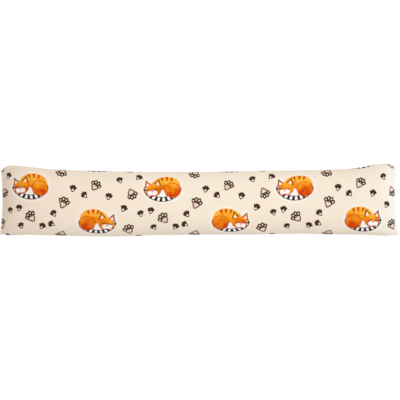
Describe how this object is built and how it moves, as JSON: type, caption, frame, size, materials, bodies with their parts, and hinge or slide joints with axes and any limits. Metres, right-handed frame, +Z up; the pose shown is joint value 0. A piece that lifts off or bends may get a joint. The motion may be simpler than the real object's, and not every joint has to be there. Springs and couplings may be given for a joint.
{
  "type": "draught excluder",
  "caption": "Long stuffed draught excluder in printed short-pile cloth, with flat sewn ends, that lies along the foot of a door.",
  "frame": {"origin": "centre of the underside's bounds, at floor level", "axes": "+X along the length, +Y towards the folded long edge, +Z up out of the printed face"},
  "size_m": [0.8999, 0.1647, 0.0663],
  "materials": {
    "printed_fleece": "cream short-pile cloth, printed all over with ginger cats and brown paw prints"
  },
  "bodies": {
    "root": {"stuffed_cover": "printed_fleece"}
  },
  "joints": []
}
